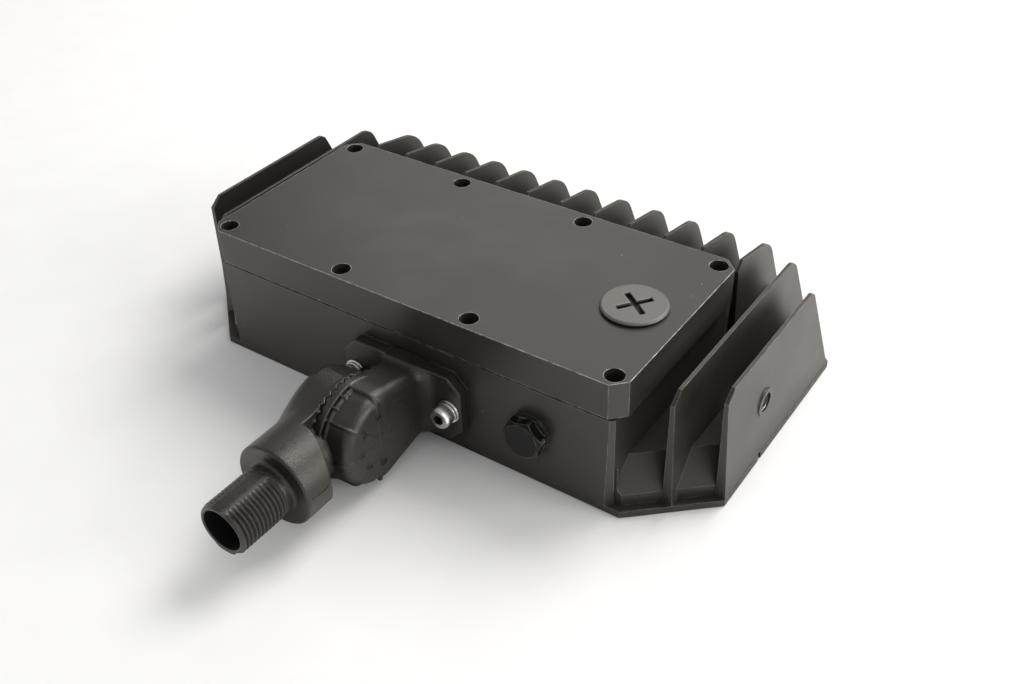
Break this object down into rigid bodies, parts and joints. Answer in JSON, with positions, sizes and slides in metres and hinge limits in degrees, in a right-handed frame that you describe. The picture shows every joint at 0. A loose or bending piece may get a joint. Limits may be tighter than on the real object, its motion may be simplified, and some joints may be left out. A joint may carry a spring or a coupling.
{
  "type": "flood light",
  "caption": "Die-cast outdoor LED flood light with a finned heat sink, a screwed rear cover and a toothed tilting knuckle that ends in a half-inch pipe-threaded stub.",
  "frame": {"origin": "centre of the bounding box, on the plane of the front rim that the light lies on", "axes": "+X along the light, -Y towards the knuckle and its threaded stub, +Z out of the back, through the rear cover"},
  "size_m": [0.262, 0.2532, 0.0618],
  "materials": {
    "cast_body": "die-cast, dark bronze fine-textured powder coat, satin",
    "cast_knuckle": "die-cast, dark bronze powder coat, satin",
    "plug_metal": "die-cast, bronze coat, satin",
    "stainless": "stainless, turned and knurled",
    "vent_plastic": "moulded nylon, matt black",
    "membrane": "thin white porous film",
    "seal_rubber": "matt",
    "silicone": "matt grey silicone",
    "glass": "clear tempered",
    "board": "white solder mask",
    "chips": "yellow phosphor",
    "reflector": "metallised",
    "block_plastic": "moulded",
    "driver_case": "moulded",
    "wire": "insulated wire",
    "earth_wire": "insulated wire",
    "brass": "turned"
  },
  "bodies": {
    "light": {"housing": "cast_body", "rear_cover": "cast_body", "cover_gasket": "seal_rubber", "cover_screws": "stainless", "closure_plug": "plug_metal", "plug_seal": "seal_rubber", "breather_vent": "vent_plastic", "vent_seal": "seal_rubber", "vent_membrane": "membrane", "knuckle_base": "cast_knuckle", "flange_gasket": "seal_rubber", "flange_screws": "stainless", "flange_spring_washers": "stainless", "flange_washers": "stainless", "pivot_bolt": "stainless", "pivot_washer": "stainless", "pivot_seal": "seal_rubber", "lens_frame": "cast_body", "lens_frame_screws": "stainless", "lens_glass": "glass", "lens_gasket": "silicone", "led_board": "board", "led_chips": "chips", "thermal_pad": "silicone", "reflector": "reflector", "board_screws": "stainless", "led_connector": "block_plastic", "led_leads": "wire", "lead_grommet": "seal_rubber", "driver": "driver_case", "driver_screws": "stainless", "terminal_block": "block_plastic", "terminal_screws": "stainless", "driver_leads": "wire", "earth_screw": "brass", "earth_lead": "earth_wire"},
    "arm": {"knuckle_arm": "cast_knuckle"}
  },
  "joints": [
    {"name": "knuckle_tilt", "type": "hinge", "parent": "light", "child": "arm", "pos_m": [0.001, -0.0607, 0.0225], "axis": [1, 0, 0], "range_deg": [-90, 90]}
  ]
}
